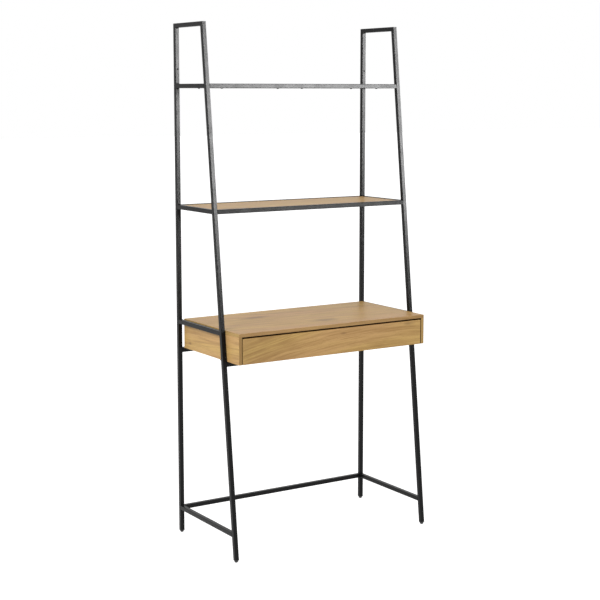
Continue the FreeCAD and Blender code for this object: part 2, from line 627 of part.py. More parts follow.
def drawer():
    """Front, sides, back and bottom of the drawer, with its fittings."""
    front_top = BOX_UNDER_TOP - DRAWER_TOP_GAP
    front = board(-DRAWER_FRONT_X, DRAWER_FRONT_X, FRONT, DRAWER_Y, BOX_BOTTOM, front_top)
    side_top = DRAWER_Z + DRAWER_SIDE_HEIGHT
    side_board = box(DRAWER_INNER_X, DRAWER_X, DRAWER_Y, DRAWER_REAR, DRAWER_Z, side_top)
    back = box(-DRAWER_INNER_X, DRAWER_INNER_X, DRAWER_REAR - DRAWER_BOARD, DRAWER_REAR, DRAWER_Z, side_top)
    low = DRAWER_Z + DRAWER_GROOVE_LIFT
    reach = DRAWER_INNER_X + DRAWER_GROOVE_DEPTH
    front_end = DRAWER_Y - DRAWER_GROOVE_DEPTH
    rear_end = DRAWER_REAR - DRAWER_BOARD + DRAWER_GROOVE_DEPTH
    bottom = box(-reach + GROOVE_CLEARANCE, reach - GROOVE_CLEARANCE, front_end + GROOVE_CLEARANCE,
                 rear_end - GROOVE_CLEARANCE, low, low + DRAWER_BOTTOM)
    groove = box(-reach, reach, front_end, rear_end, low - GROOVE_CLEARANCE,
                 low + DRAWER_BOTTOM + GROOVE_CLEARANCE)
    front = front.cut(groove)
    side_board = side_board.cut(groove)
    back = back.cut(groove)
    middle_x = DRAWER_X - DRAWER_BOARD / 2
    start = Vec(middle_x, DRAWER_Y - DOWEL_DEPTH_THIN, DRAWER_Z + DRAWER_DOWEL_LIFT)
    length = DOWEL_DEPTH_THIN + DOWEL_DEPTH_EDGE
    dowel = cylinder(DOWEL_RADIUS, length, start, Vec(0, 1, 0))
    hole = dowel_hole(start, Vec(0, 1, 0), length)
    centre = Vec(DRAWER_INNER_X, DRAWER_Y + CAM_EDGE, DRAWER_Z + DRAWER_CAM_LIFT)
    nut, bolt, nut_hole, bolt_hole, thread_hole = cam_set(centre, Vec(1, 0, 0), DRAWER_BOARD, Vec(0, -1, 0))
    front = front.cut(hole).cut(mirrored(hole)).cut(thread_hole).cut(mirrored(thread_hole))
    side_board = side_board.cut(hole).cut(nut_hole).cut(bolt_hole)
    screws, holes = back_screws()
    for hole in holes:
        side_board = side_board.cut(hole)
        back = back.cut(hole).cut(mirrored(hole))
    member_screws, pilots = runner_screws(DRAWER_X, -1)
    for pilot in pilots:
        side_board = side_board.cut(pilot)
    export("drawer_front", front)
    export("drawer_right_side", side_board)
    export("drawer_left_side", mirrored(side_board))
    export("drawer_back", back)
    export("drawer_bottom", bottom)
    for name, group in (("drawer_dowels", [dowel]), ("drawer_cam_nuts", [nut]), ("drawer_cam_bolts", [bolt]),
                        ("drawer_back_screws", screws), ("runner_drawer_screws", member_screws)):
        export(name, *group, *[mirrored(piece) for piece in group])


# ---------------------------------------------------------------- runners
def strip(near, far, low, high, start=0.0, length=RUNNER_LENGTH):
    """Part of the right runner. near and far are distances from the cabinet's side, low and high from
    the runner's centre, and start is behind its front end."""
    y = DRAWER_Y + start
    return box(BOX_INNER_X - far, BOX_INNER_X - near, y, y + length, RUNNER_Z + low, RUNNER_Z + high)


def channel(web_near, web_far, flange_near, flange_far, half_height, sheet):
    """C-shaped member: a web and two flanges."""
    web = strip(web_near, web_far, -half_height, half_height)
    upper = strip(flange_near, flange_far, half_height - sheet, half_height)
    lower = strip(flange_near, flange_far, -half_height, sheet - half_height)
    return web.fuse(upper).fuse(lower)


def with_holes(member, face, way):
    """A runner member with a hole for each of its screws."""
    for inset in RUNNER_SCREW_INSETS:
        start = Vec(face - way * 2 * RUNNER_SHEET, DRAWER_Y + inset, RUNNER_Z)
        member = member.cut(cylinder(RUNNER_SCREW_SHANK + SCREW_HOLE_CLEARANCE, 3 * RUNNER_SHEET, start,
                                     Vec(way, 0, 0)))
    return member


def ball_cage(web_near, end, ball_radius, ball_z, ball_place):
    """Ball cage: a bent strip with a row of balls along its upper and its lower flange."""
    high = ball_z + CAGE_SHEET / 2
    low = ball_z - CAGE_SHEET / 2
    cage = strip(web_near, web_near + CAGE_SHEET, -high, high, CAGE_START, CAGE_LENGTH)
    cage = cage.fuse(strip(web_near, end, low, high, CAGE_START, CAGE_LENGTH))
    cage = cage.fuse(strip(web_near, end, -high, -low, CAGE_START, CAGE_LENGTH))
    pitch = (CAGE_LENGTH - 2 * BALL_END_MARGIN) / (BALLS_IN_A_ROW - 1)
    balls = []
    for row in (-1, 1):
        for k in range(BALLS_IN_A_ROW):
            y = DRAWER_Y + CAGE_START + BALL_END_MARGIN + k * pitch
            centre = Vec(BOX_INNER_X - ball_place, y, RUNNER_Z + row * ball_z)
            pocket = cylinder(ball_radius + CAGE_POCKET_CLEARANCE, 2 * CAGE_SHEET,
                              centre - Vec(0, 0, CAGE_SHEET), Vec(0, 0, 1))
            cage = cage.cut(pocket)
            balls.append(Part.makeSphere(ball_radius, centre))
    return [cage] + balls


def runners():
    """Both runners."""
    half = RUNNER_HEIGHT / 2
    outer_ball_z = half - RUNNER_SHEET - BALL_CLEARANCE - OUTER_BALL_RADIUS
    middle_half = outer_ball_z - OUTER_BALL_RADIUS - BALL_CLEARANCE
    inner_ball_z = middle_half - MIDDLE_SHEET - BALL_CLEARANCE - INNER_BALL_RADIUS
    inner_half = inner_ball_z - INNER_BALL_RADIUS - BALL_CLEARANCE
    cabinet = channel(0, RUNNER_SHEET, 0, OUTER_FLANGE, half, RUNNER_SHEET)
    for low, high in ((half - OUTER_LIP, half), (-half, OUTER_LIP - half)):
        cabinet = cabinet.fuse(strip(OUTER_FLANGE - RUNNER_SHEET, OUTER_FLANGE, low, high))
    cabinet = with_holes(cabinet, BOX_INNER_X, 1)
    middle = channel(MIDDLE_WEB, MIDDLE_WEB + MIDDLE_SHEET, MIDDLE_WEB, MIDDLE_WEB + MIDDLE_FLANGE,
                     middle_half, MIDDLE_SHEET)
    inner = channel(RUNNER_THICKNESS - RUNNER_SHEET, RUNNER_THICKNESS, INNER_FLANGE_TIP, RUNNER_THICKNESS,
                    inner_half, RUNNER_SHEET)
    inner = with_holes(inner, DRAWER_X, -1)
    outer_cage = ball_cage(OUTER_CAGE_WEB, OUTER_CAGE_END, OUTER_BALL_RADIUS, outer_ball_z, OUTER_BALL_PLACE)
    inner_cage = ball_cage(INNER_CAGE_WEB, INNER_CAGE_END, INNER_BALL_RADIUS, inner_ball_z, INNER_BALL_PLACE)
    groups = {"cabinet_member": [cabinet], "middle_member": [middle], "drawer_member": [inner],
              "outer_ball_cage": outer_cage, "inner_ball_cage": inner_cage}
    for name, group in groups.items():
        export(f"right_runner_{name}", *group)
        export(f"left_runner_{name}", *[mirrored(piece) for piece in group])


# ---------------------------------------------------------------- the desk
os.makedirs("parts", exist_ok=True)
for frame_side, frame_word in ((-1, "left"), (1, "right")):
    side_frame(frame_side, frame_word)
export("rear_glides", *[glide(frame_side, rear_upright_y, 0) for frame_side in (-1, 1)])
export("front_glides", *[glide(frame_side, front_upright_y, LEAN) for frame_side in (-1, 1)])
cross_rails()
shelves()
desk_box()
drawer()
runners()
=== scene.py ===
"""Ladder desk: finishes, weld beads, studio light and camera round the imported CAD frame, in metres."""
import json
import math
import random

import bmesh
import bpy
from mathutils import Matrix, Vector


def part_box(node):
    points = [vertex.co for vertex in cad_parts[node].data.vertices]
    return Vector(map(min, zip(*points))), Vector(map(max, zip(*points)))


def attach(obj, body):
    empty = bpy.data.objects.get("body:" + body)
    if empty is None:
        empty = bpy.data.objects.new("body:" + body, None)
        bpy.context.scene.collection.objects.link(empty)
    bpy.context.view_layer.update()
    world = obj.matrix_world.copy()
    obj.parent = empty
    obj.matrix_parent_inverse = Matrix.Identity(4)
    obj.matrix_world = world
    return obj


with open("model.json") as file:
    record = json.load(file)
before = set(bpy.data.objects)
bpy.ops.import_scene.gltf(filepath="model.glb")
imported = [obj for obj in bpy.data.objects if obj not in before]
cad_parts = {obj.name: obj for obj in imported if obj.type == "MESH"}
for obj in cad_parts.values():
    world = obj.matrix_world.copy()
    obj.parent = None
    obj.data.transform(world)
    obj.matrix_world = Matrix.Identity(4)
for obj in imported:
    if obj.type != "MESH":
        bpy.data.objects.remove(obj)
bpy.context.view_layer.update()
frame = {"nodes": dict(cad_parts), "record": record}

NODES = frame["nodes"]
X, Y, Z = range(3)

# ---- camera, at the photograph's place and angle
CAMERA_PLACE = (-2.6415, -4.1135, 1.5728)
CAMERA_YAW = 32.574  # degrees from +Y towards +X
CAMERA_PITCH = 7.797  # degrees below level
CAMERA_LENS = 83.35  # mm
CAMERA_SENSOR = 36.0  # mm wide
CAMERA_SHIFT = -0.03  # share of the frame

# ---- colours, linear
OAK_PINK = (0.545, 0.330, 0.140)
OAK_YELLOW = (0.570, 0.375, 0.128)
OAK_BROWN = (0.360, 0.205, 0.074)
OAK_DARK = (0.310, 0.168, 0.055)
OAK_PORE = (0.235, 0.120, 0.040)
# knots, and the painted shade patch on the drawer front, darken towards this colour
KNOT_AND_SHADE_BROWN = (0.175, 0.095, 0.045)
COAT_BLACK = (0.0040, 0.0040, 0.0042)
PLASTIC_BLACK = (0.0150, 0.0150, 0.0155)
SCREW_BLACK = (0.0180, 0.0180, 0.0190)
ZINC = (0.56, 0.57, 0.58)
DRAWER_FOIL = (0.62, 0.53, 0.41)
HARDBOARD = (0.34, 0.22, 0.13)
BEECH = (0.62, 0.44, 0.27)
WHITE = (1.0, 1.0, 1.0)
FLOOR_GREY = (0.80, 0.80, 0.80)

# ---- black powder coat, on the frame and on the screws
MIDDLE_RANGE = (0.25, 0.75)  # of a broad noise, stretched to a range of roughness here and on the zinc
COAT_GLOSS = 0.12  # specular level
COAT_ROUGHNESS, SCREW_ROUGHNESS = 0.32, 0.38
ROUGHNESS_DRIFT = 0.03  # to each side of them
COAT_PEEL, SCREW_PEEL = 0.00006, 0.00002  # depth of the orange peel
PEEL_SCALE, DRIFT_SCALE = 1100.0, 26.0
PEEL_STRENGTH = 0.35
COAT_LIGHTER = 1.35  # factor on the colour, where the broad noise is high

# ---- oak foil
OAK_GLOSS = 0.19  # specular level
OAK_ROUGHNESS = 0.42
PORE_STRENGTH, PORE_DEPTH = 0.12, 0.0002
FACING = 0.75  # share of the normal along an axis from which a face counts as facing that way
RING_RATE = 120.0  # radians per metre across the grain
RING_WANDER, RING_RIPPLE = 34.0, 2.5  # radians
PAINTED_INSIDE_SHADE = 0.22  # of the oak's colour: painted shade on the faces inside the desk box, for the shadow in the gaps beside the drawer
PAINTED_INSIDE_FACING = (0.5, 0.9)  # share of the normal over which that painted shade sets in
# noises: scale along, across and through the grain, offset, detail, roughness
OAK_NOISES = {
    "wander": ((2.6, 10.0, 10.0), (0, 0, 0), 2.0, 0.5),
    "ripple": ((6.0, 55.0, 55.0), (0, 0, 0), 2.0, 0.5),
    "broad": ((1.9, 11.0, 11.0), (0.7, 0.3, 0.9), 2.0, 0.5),
    "strength": ((1.5, 6.0, 6.0), (3.1, 0.4, 0.2), 1.0, 0.5),
    "streaks": ((4.0, 95.0, 95.0), (1.3, 0.2, 0.6), 3.0, 0.6),
    "lines": ((8.0, 300.0, 300.0), (0, 0, 0), 4.0, 0.6),
    "pores": ((55.0, 1500.0, 1500.0), (0, 0, 0), 1.0, 0.5),
}
# ranges of those noises that tell, and the shares that they are stretched to
HUE_RANGE = (0.32, 0.68)
BAND_RANGE = (-0.6, 1.0)  # of the rings' sine
BAND_STRENGTH = (0.40, 0.70, 0.05, 0.5)
STREAK_SHARE = (0.42, 0.70, 0.0, 0.72)
LINE_SHARE = (0.45, 0.72, 0.0, 0.55)
PORE_SHARE = (0.60, 0.74, 0.0, 0.50)
# rims of the marks
MARK_NOISE = (26.0, 120.0, 120.0)
MARK_RAGGED = 1.1
MARK_RIM = (0.45, 1.55)  # distance with its noise, in half sizes, over which a mark fades to nothing

# ---- other finishes
BOARD_DRAW = (0.15, 0.03, 0.15)  # scales that draw a board's speckle out along Y
BOARD_RANGE = (0.3, 0.7)
BOARD_STRENGTH, BOARD_DEPTH = 0.1, 0.0001
ZINC_DRAW = (1.0, 0.012, 1.0)  # scales that draw the zinc's lines out along Y
ZINC_LINE_SCALE, ZINC_CLOUD_SCALE = 2600.0, 60.0
ZINC_DARKER = 0.82
ZINC_ROUGHNESS = (0.26, 0.38)
ZINC_STRENGTH, ZINC_DEPTH = 0.15, 0.00005
PLASTIC_ROUGHNESS = 0.55
PLASTIC_SCALE = 2200.0
PLASTIC_LIGHTER = 1.5
PLASTIC_STRENGTH, PLASTIC_DEPTH = 0.4, 0.00008


# ================================================================ node materials
class Finish:
    """A node material, built round its Principled shader."""

    def __init__(self, name, **surface):
        self.material = bpy.data.materials.new(name)
        self.material.use_nodes = True
        self.tree = self.material.node_tree
        self.shader = self.tree.nodes["Principled BSDF"]
        self.object_space = self.add("TexCoord")
        for socket, value in surface.items():
            self.surface(socket.replace("_", " "), value)

    def feed(self, socket, value):
        """Links a socket, or sets its number or colour."""
        if isinstance(value, bpy.types.NodeSocket):
            self.tree.links.new(value, socket)
        elif hasattr(value, "__len__") and len(value) == 3 and len(socket.default_value) == 4:
            socket.default_value = (*value, 1.0)
        else:
            socket.default_value = value

    def surface(self, socket, value):
        """Feeds a socket of the shader."""
        self.feed(self.shader.inputs[socket], value)

    def add(self, kind, inputs=(), **settings):
        """A new node. inputs are pairs of a socket's name or number and its value or source."""
        node = self.tree.nodes.new("ShaderNode" + kind)
        for name, value in settings.items():
            setattr(node, name, value)
        for socket, value in inputs:
            self.feed(node.inputs[socket], value)
        return node

    def axes(self, vector):
        """A vector's three numbers."""
        return self.add("SeparateXYZ", ((0, vector),)).outputs

    def vector(self, operation, a, b):
        """One sum on vectors."""
        return self.add("VectorMath", ((0, a), (1, b)), operation=operation).outputs[0]

    def place(self, scale=(1, 1, 1), offset=(0, 0, 0), source=None):
        """Object-space position or another, moved and then scaled."""
        position = source or self.object_space.outputs["Object"]
        return self.vector("MULTIPLY", self.vector("ADD", position, offset), scale)

    def noise(self, position, detail, scale=1.0, roughness=0.5):
        """Noise between 0 and 1."""
        inputs = (("Vector", position), ("Scale", scale), ("Detail", detail), ("Roughness", roughness))
        return self.add("TexNoise", inputs).outputs[0]

    def math(self, operation, a, b=0.0):
        """One sum on numbers."""
        return self.add("Math", ((0, a), (1, b)), operation=operation).outputs[0]

    def ranged(self, value, low, high, to_low=0.0, to_high=1.0):
        """A value's range stretched to another, held within it and eased."""
        inputs = ((0, value), (1, low), (2, high), (3, to_low), (4, to_high))
        return self.add("MapRange", inputs, interpolation_type="SMOOTHSTEP").outputs[0]

    def mix(self, share, first, second):
        """Colour between two others. 6, 7 and 2 are the node's sockets for colours."""
        inputs = ((0, share), (6, first), (7, second))
        return self.add("Mix", inputs, data_type="RGBA").outputs[2]

    def bump(self, height, strength, depth):
        """Surface relief of the given depth in metres."""
        inputs = (("Height", height), ("Strength", strength), ("Distance", depth))
        self.surface("Normal", self.add("Bump", inputs).outputs[0])


def tinted(colour, factor):
    """A colour made lighter or darker."""
    return tuple(channel * factor for channel in colour)


def powder_coat(name, base, roughness, peel):
    """Satin powder coat: near black, with the faint orange peel of a baked coat."""
    finish = Finish(name, Specular_IOR_Level=COAT_GLOSS)
    fine = finish.noise(finish.place(), detail=2.0, scale=PEEL_SCALE)
    broad = finish.noise(finish.place(), detail=3.0, scale=DRIFT_SCALE)
    finish.surface("Base Color", finish.mix(broad, base, tinted(base, COAT_LIGHTER)))
    drift = finish.ranged(broad, *MIDDLE_RANGE, roughness - ROUGHNESS_DRIFT, roughness + ROUGHNESS_DRIFT)
    finish.surface("Roughness", drift)
    finish.bump(fine, PEEL_STRENGTH, peel)
    return finish.material


def third_axis(grain, cross):
    """The axis through a board's thickness."""
    return X + Y + Z - grain - cross


def along_grain(finish, grain, cross, offset, slope, bend):
    """Position whose first axis runs along the grain, and 1 on the board's edge bands.

    grain and cross are the board's long and short axes, 0 to 2. The grain runs along the faces and the long
    edges, and on the edges across it, it turns to run along them. On the face, slope tilts it and bend, in
    slope per metre from the board's middle, bows it.
    """
    thick = third_axis(grain, cross)
    position = finish.axes(finish.place(offset=offset))
    normal = finish.axes(finish.object_space.outputs["Normal"])
    from_middle = finish.axes(finish.object_space.outputs["Object"])[grain]
    tilt = finish.math("ADD", finish.math("MULTIPLY", from_middle, bend / 2), slope)
    across_face = finish.math("ADD", position[cross], finish.math("MULTIPLY", from_middle, tilt))
    face = ((0, position[grain]), (1, across_face), (2, position[thick]))
    end = ((0, position[cross]), (1, position[grain]), (2, position[thick]))
    on_face = finish.add("CombineXYZ", face).outputs[0]
    on_end = finish.add("CombineXYZ", end).outputs[0]
    is_end = finish.math("GREATER_THAN", finish.math("ABSOLUTE", normal[grain]), FACING)
    is_edge = finish.math("LESS_THAN", finish.math("ABSOLUTE", normal[thick]), FACING)
    # 4, 5 and 1 are the node's sockets for vectors
    turned = finish.add("Mix", ((0, is_end), (4, on_face), (5, on_end)), data_type="VECTOR")
    return turned.outputs[1], is_edge


def mark(finish, colour, position, grain, place, half_length, half_width, strength):
    """Darkens the colour round a place on the board, ragged at its rim and drawn out along the grain."""
    ragged = finish.noise(finish.place(MARK_NOISE, source=position), detail=3.0)
    away = finish.vector("SUBTRACT", finish.object_space.outputs["Object"], place)
    scale = tuple(1 / half_length if axis == grain else 1 / half_width for axis in (X, Y, Z))
    scaled = finish.vector("MULTIPLY", away, scale)
    far = finish.add("VectorMath", ((0, scaled),), operation="LENGTH").outputs["Value"]
    far = finish.math("ADD", far, finish.math("MULTIPLY", ragged, MARK_RAGGED))
    return finish.mix(finish.ranged(far, *MARK_RIM, to_low=strength, to_high=0.0), colour, KNOT_AND_SHADE_BROWN)


def oak(name, grain, cross, offset, slope=0.0, bend=0.0, marks=(), band=1.0, inside=0):
    """Oak foil with a satin print: growth bands, streaks, short pores, soft changes of hue and a few marks.

    marks are knots, and on the drawer front a painted shade patch, each with its place, half length along
    the grain, half width and strength. band darkens the edge bands. inside is 1 or -1 where the face on
    that side of the board is inside the desk box, where its colour is darkened as painted shade.
    """
    finish = Finish(name, Roughness=OAK_ROUGHNESS, Specular_IOR_Level=OAK_GLOSS)
    position, is_edge = along_grain(finish, grain, cross, offset, slope, bend)
    noises = {layer: finish.noise(finish.place(stretch, shift, position), detail, roughness=roughness)
              for layer, (stretch, shift, detail, roughness) in OAK_NOISES.items()}
    apart = finish.axes(position)
    rings = finish.math("MULTIPLY", finish.math("ADD", apart[1], apart[2]), RING_RATE)
    rings = finish.math("ADD", rings, finish.math("MULTIPLY", noises["wander"], RING_WANDER))
    rings = finish.math("ADD", rings, finish.math("MULTIPLY", noises["ripple"], RING_RIPPLE))
    bands = finish.ranged(finish.math("SINE", rings), *BAND_RANGE)
    bands = finish.math("MULTIPLY", bands, finish.ranged(noises["strength"], *BAND_STRENGTH))
    colour = finish.mix(finish.ranged(noises["broad"], *HUE_RANGE), OAK_PINK, OAK_YELLOW)
    colour = finish.mix(finish.ranged(noises["streaks"], *STREAK_SHARE), colour, OAK_BROWN)
    colour = finish.mix(bands, colour, OAK_BROWN)
    colour = finish.mix(finish.ranged(noises["lines"], *LINE_SHARE), colour, OAK_DARK)
    colour = finish.mix(finish.ranged(noises["pores"], *PORE_SHARE), colour, OAK_PORE)
    for details in marks:
        colour = mark(finish, colour, position, grain, *details)
    shade = finish.ranged(is_edge, 0.0, 1.0, to_low=1.0, to_high=band)
    # painted shade: the faces inside the desk box are darkened for the shadow in the gaps beside the drawer
    if inside:
        normal = finish.axes(finish.object_space.outputs["Normal"])
        inward = finish.math("MULTIPLY", normal[third_axis(grain, cross)], inside)
        inner = finish.ranged(inward, *PAINTED_INSIDE_FACING, to_low=1.0, to_high=PAINTED_INSIDE_SHADE)
        shade = finish.math("MULTIPLY", shade, inner)
    shaded = finish.add("VectorMath", ((0, colour), (3, shade)), operation="SCALE").outputs[0]
    finish.surface("Base Color", shaded)
    finish.bump(noises["pores"], PORE_STRENGTH, PORE_DEPTH)
    return finish.material


def plain_board(name, base, speckle, scale, roughness):
    """Foil, hardboard or solid beech: one colour with a fine speckle drawn out along Y."""
    finish = Finish(name, Roughness=roughness)
    grain = finish.noise(finish.place(BOARD_DRAW), detail=4.0, scale=scale, roughness=0.65)
    share = finish.ranged(grain, *BOARD_RANGE)
    finish.surface("Base Color", finish.mix(share, tinted(base, 1 - speckle), base))
    finish.bump(grain, BOARD_STRENGTH, BOARD_DEPTH)
    return finish.material


def zinc_plate(name):
    """Bright zinc on drawn steel, with fine draw lines along Y and a little cloudiness."""
    finish = Finish(name, Metallic=1.0)
    lines = finish.noise(finish.place(ZINC_DRAW), detail=2.0, scale=ZINC_LINE_SCALE)
    cloud = finish.noise(finish.place(), detail=3.0, scale=ZINC_CLOUD_SCALE)
    finish.surface("Base Color", finish.mix(cloud, tinted(ZINC, ZINC_DARKER), ZINC))
    finish.surface("Roughness", finish.ranged(cloud, *MIDDLE_RANGE, *ZINC_ROUGHNESS))
    finish.bump(lines, ZINC_STRENGTH, ZINC_DEPTH)
    return finish.material


def moulded_plastic(name):
    """Matt moulded plastic with a fine spark-eroded texture."""
    finish = Finish(name, Roughness=PLASTIC_ROUGHNESS)
    grain = finish.noise(finish.place(), detail=2.0, scale=PLASTIC_SCALE)
    finish.surface("Base Color", finish.mix(grain, PLASTIC_BLACK, tinted(PLASTIC_BLACK, PLASTIC_LIGHTER)))
    finish.bump(grain, PLASTIC_STRENGTH, PLASTIC_DEPTH)
    return finish.material


# ================================================================ finishes of the CAD nodes
COAT = powder_coat("black_powder_coat", COAT_BLACK, COAT_ROUGHNESS, COAT_PEEL)
SCREW = powder_coat("black_screws", SCREW_BLACK, SCREW_ROUGHNESS, SCREW_PEEL)
TOP_BAND, LEFT_BAND, RIGHT_BAND = 0.80, 0.72, 0.82
# marks: place, half length, half width, strength
TOP_MARKS = (((-0.162, 0.061, 0.781), 0.085, 0.030, 0.75), ((0.018, -0.115, 0.781), 0.080, 0.045, 0.60))
# the first is painted shade, darkening the drawer front's left end where the light falls off; the other two
# are knots
FRONT_KNOTS_AND_SHADE = (((-0.36, -0.205, 0.725), 0.30, 0.16, 0.26), ((0.035, -0.205, 0.746), 0.018, 0.007, 0.5),
               ((0.314, -0.205, 0.754), 0.030, 0.009, 0.5))
LEFT_MARKS = (((-0.383, 0.137, 0.6985), 0.018, 0.007, 0.8),)
# boards: grain and cross axes, the print's offset, and what sets the board apart
FINISHES = {
    "desk_top": oak("oak_desk_top", X, Y, (0.0, 0.0, 0.0), slope=0.04, marks=TOP_MARKS, band=TOP_BAND),
    "drawer_front": oak("oak_drawer_front", X, Z, (4.3, 0.0, 1.7), slope=-0.10, bend=0.40,
                        marks=FRONT_KNOTS_AND_SHADE),
    "desk_left_side": oak("oak_left_side", Y, Z, (0.0, 2.9, 0.6), slope=0.05, marks=LEFT_MARKS,
                          band=LEFT_BAND, inside=1),
    "desk_right_side": oak("oak_right_side", Y, Z, (0.0, 7.1, 3.3), slope=0.05, band=RIGHT_BAND, inside=-1),
    "desk_back_panel": oak("oak_back", X, Z, (9.7, 0.0, 5.1)),
    "upper_shelf_panel": oak("oak_upper_shelf", X, Y, (13.1, 0.0, 0.9)),
    "middle_shelf_panel": oak("oak_middle_shelf", X, Y, (17.9, 0.0, 2.2)),
}
SLOT_FINISHES = {
    "black_powder_coat": COAT,
    "black_screws": SCREW,
    "black_plastic": moulded_plastic("black_plastic"),
    "zinc_steel": zinc_plate("zinc_steel"),
    "drawer_board": plain_board("drawer_board", DRAWER_FOIL, speckle=0.16, scale=900.0, roughness=0.5),
    "hardboard": plain_board("hardboard", HARDBOARD, speckle=0.35, scale=2400.0, roughness=0.6),
    "beech": plain_board("beech", BEECH, speckle=0.25, scale=1400.0, roughness=0.55),
}
SLOT_OF = {entry["node"]: entry["material_slot"] for entry in frame["record"]["subparts"]}
for node_name, cad_node in NODES.items():
    cad_node.data.materials.clear()
    cad_node.data.materials.append(FINISHES.get(node_name) or SLOT_FINISHES[SLOT_OF[node_name]])


# ================================================================ weld beads
BEAD_RADIUS = 0.0016
BEAD_RIPPLE = 0.10  # share of the radius
BEAD_UNEVEN = 0.02  # share of the radius, drawn for each ring
BEAD_PITCH = 0.0016
BEAD_END_TAPER = 0.0018  # length over which an end swells to the full radius
BEAD_END_LEAST = 0.02  # square of the share of the radius that is left at an end
BEAD_END_INSET = 0.0012  # left free at each end of the joint
BEAD_STAND_OFF = 0.35  # share of the radius by which the bead's centre stands out of the corner
BEAD_RINGS_PER_PITCH = 6
BEAD_SIDES = 12
BOX_TAB_WIDTH = 0.020
FRONT_LEAN, FULL_HEIGHT = 0.201, 1.805  # how far back a front upright leans, and over what height
LEAN = math.atan2(FRONT_LEAN, FULL_HEIGHT)  # of the front uprights, from upright


def bead(mesh, start, end, away, rng):
    """A rippled weld bead from start to end, in the corner that away points out of."""
    run = end - start
    length = run.length
    along = run.normalized()
    side = along.cross(away).normalized()
    count = int(length / BEAD_PITCH * BEAD_RINGS_PER_PITCH)
    rings = []
    wobble = rng.uniform(0, math.tau)
    for step in range(count + 1):
        at = length * step / count
        nearest_end = min(at, length - at)
        taper = min(1.0, math.sqrt(max(BEAD_END_LEAST, nearest_end / BEAD_END_TAPER)))
        ripple = 1 + BEAD_RIPPLE * math.sin(math.tau * at / BEAD_PITCH + wobble)
        radius = BEAD_RADIUS * taper * ripple * rng.uniform(1 - BEAD_UNEVEN, 1 + BEAD_UNEVEN)
        centre = start + along * at + away * (BEAD_RADIUS * BEAD_STAND_OFF)
        ring = []
        for turn in range(BEAD_SIDES):
            angle = math.tau * turn / BEAD_SIDES
            ring.append(mesh.verts.new(centre + (away * math.cos(angle) + side * math.sin(angle)) * radius))
        rings.append(ring)
    for ring, following in zip(rings, rings[1:]):
        for turn in range(BEAD_SIDES):
            after = (turn + 1) % BEAD_SIDES
            mesh.faces.new((ring[turn], ring[after], following[after], following[turn]))
    mesh.faces.new(list(reversed(rings[0])))
    mesh.faces.new(rings[-1])


def across(mesh, x0, x1, y, z, away, rng):
    """A bead along X, in the corner at y and z."""
    start, end = Vector((x0 + BEAD_END_INSET, y, z)), Vector((x1 - BEAD_END_INSET, y, z))
    bead(mesh, start, end, away.normalized(), rng)


def rail_beads(mesh, side, rng):
    """Beads above and below both ends of each side rail, and one under the top rail at the rear upright."""
    for level in ("upper", "middle", "desk", "lower"):
        low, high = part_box(f"{side}_{level}_side_rail")
        rise = (high.z - low.z) * math.tan(LEAN)
        corners = ((high.y, high.z, Vector((0, -1, 1))), (high.y, low.z, Vector((0, -1, -1))),
                   (low.y + rise, high.z, Vector((0, 1, 1))), (low.y, low.z, Vector((0, 1, -1))))
        for y, z, away in corners:
            across(mesh, low.x, high.x, y, z, away, rng)
    low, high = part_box(f"{side}_top_rail")
    rear_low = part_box(f"{side}_rear_upright")[0]
    across(mesh, low.x, high.x, rear_low.y, low.z, Vector((0, -1, -1)), rng)


def tab_beads(mesh, side, rng):
    """Beads under the desk box's tabs, along the inner faces of the bearers that carry them."""
    for bearer, way in (("desk_rear_bearer", -1), ("desk_front_bearer", 1)):
        low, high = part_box(bearer)
        tab_low, tab_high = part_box("desk_box_tabs")
        if side == "left":
            x0, x1 = tab_low.x, tab_low.x + BOX_TAB_WIDTH
        else:
            x0, x1 = tab_high.x - BOX_TAB_WIDTH, tab_high.x
        face = low.y if way < 0 else high.y
        across(mesh, x0, x1, face, high.z, Vector((0, way, -1)), rng)


for side_name in ("left", "right"):
    draw = random.Random(side_name)
    bead_mesh = bmesh.new()
    rail_beads(bead_mesh, side_name, draw)
    tab_beads(bead_mesh, side_name, draw)
    bead_data = bpy.data.meshes.new(f"{side_name}_frame_welds")
    bead_mesh.to_mesh(bead_data)
    bead_mesh.free()
    bead_data.shade_smooth()
    bead_data.materials.append(COAT)
    welds = bpy.data.objects.new(f"{side_name}_frame_welds", bead_data)
    bpy.context.scene.collection.objects.link(welds)
    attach(welds, "frame")


# ================================================================ studio
FLOOR_HALF = 40.0
FLOOR_SEGMENTS = 4
FLOOR_ROUGHNESS, FLOOR_GLOSS = 0.9, 0.1
NEAR_REACH, FAR_REACH = 1.0, 4.0  # from the middle of the floor, where the desk stands
NEAR_GLOW, FAR_GLOW = 0.70, 0.90
AMBIENT = 0.40  # strength of the world as a light
FRAME_LAMP_X, FRAME_LAMP_Y = 1.35, -2.10  # lamps for the frame alone, in front of the desk and to its right
FRAME_LAMP_WIDTH = 1.35
FRAME_Y = -0.14  # where they aim
FILL_TARGET = (0.0, -0.1, 0.8)


def light(name, place, target, width, height, power, spread=180):
    """Soft box that points at a target. spread is its grid's angle in degrees."""
    data = bpy.data.lights.new(name, "AREA")
    data.shape = "RECTANGLE"
    data.size = width
    data.size_y = height
    data.energy = power
    data.spread = math.radians(spread)
    lamp = bpy.data.objects.new(name, data)
    lamp.location = place
    lamp.visible_camera = False
    lamp.rotation_euler = (Vector(target) - Vector(place)).to_track_quat("-Z", "Y").to_euler()
    bpy.context.scene.collection.objects.link(lamp)
    return lamp


def light_only(lamp, pieces):
    """Keeps a lamp's light to some pieces."""
    lit = bpy.data.collections.new(f"{lamp.name}_lit")
    for piece in pieces:
        lit.objects.link(piece)
    lamp.light_linking.receiver_collection = lit


